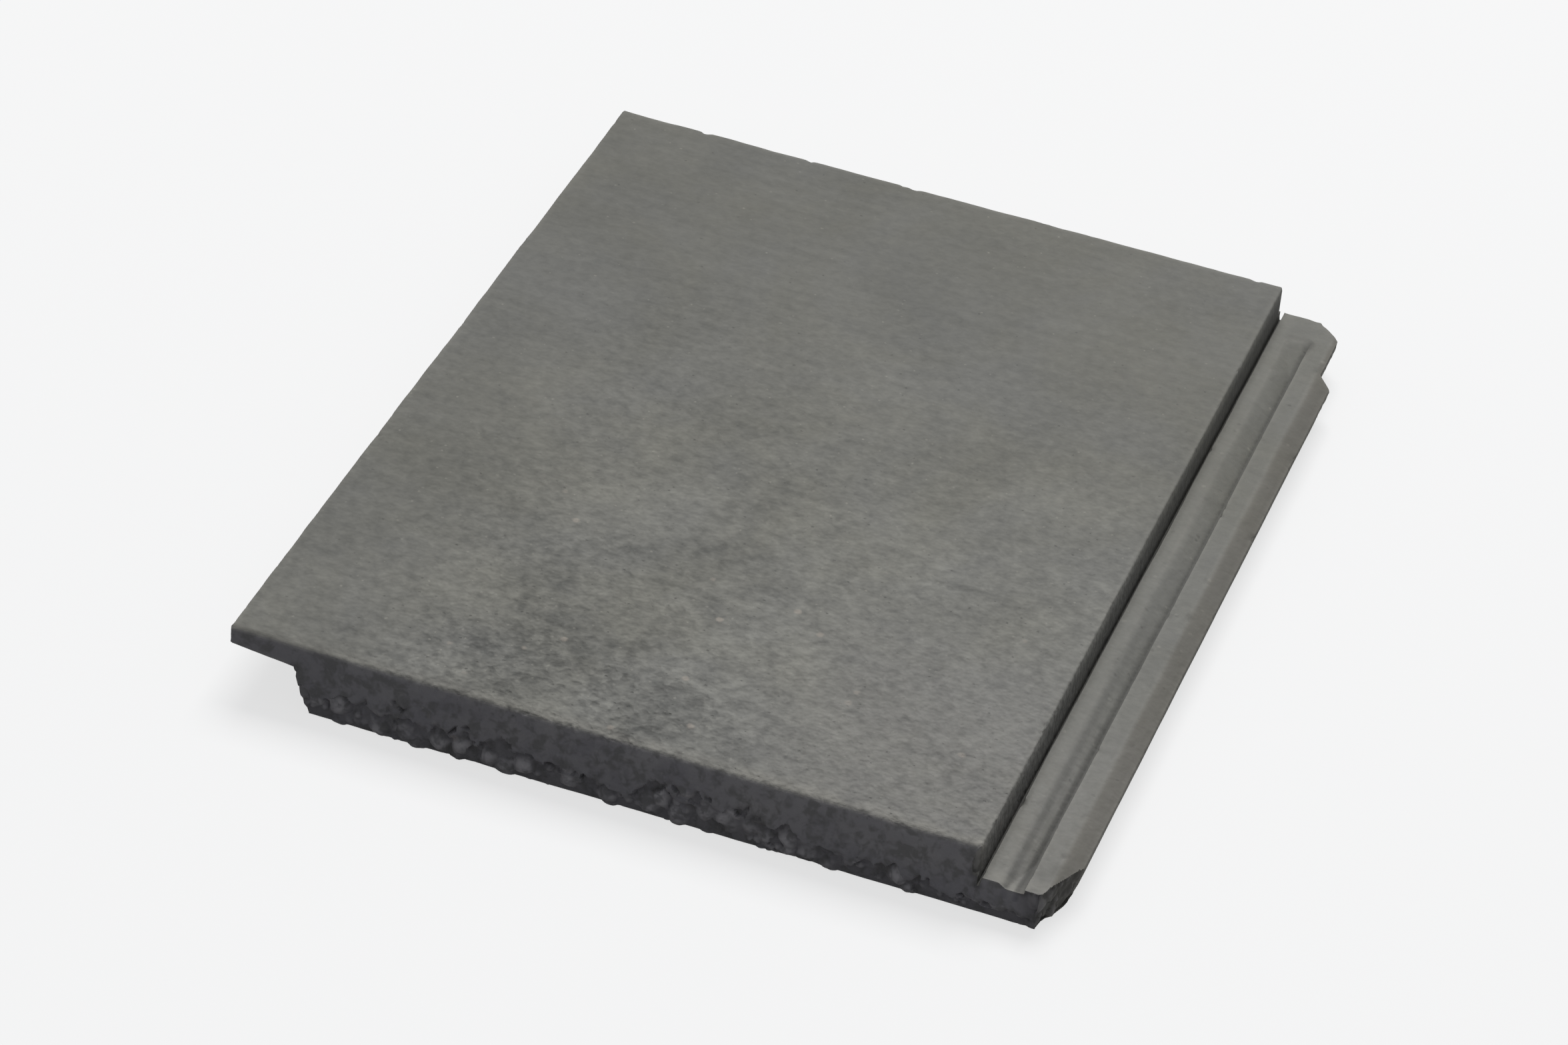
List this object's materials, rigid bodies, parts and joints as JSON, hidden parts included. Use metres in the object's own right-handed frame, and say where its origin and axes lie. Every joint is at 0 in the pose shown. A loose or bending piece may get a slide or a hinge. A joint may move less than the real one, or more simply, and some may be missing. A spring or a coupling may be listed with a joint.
{
  "type": "flat interlocking concrete roof tile",
  "caption": "Flat concrete roof tile with a cover lip along one side, a lower ribbed shelf along the other, a thick tail and nibs under its head.",
  "frame": {"origin": "centre of the tile's overall outline, on the plane that it lies on", "axes": "+X across the roof, from the cover lip to the shelf; +Y up the slope, from the tail to the head; +Z out of the weather face"},
  "size_m": [0.33, 0.42, 0.03],
  "materials": {
    "concrete": "matt, fine sandy grain, dark grey pigmented concrete"
  },
  "bodies": {
    "root": {"roof_tile": "concrete"}
  },
  "joints": []
}
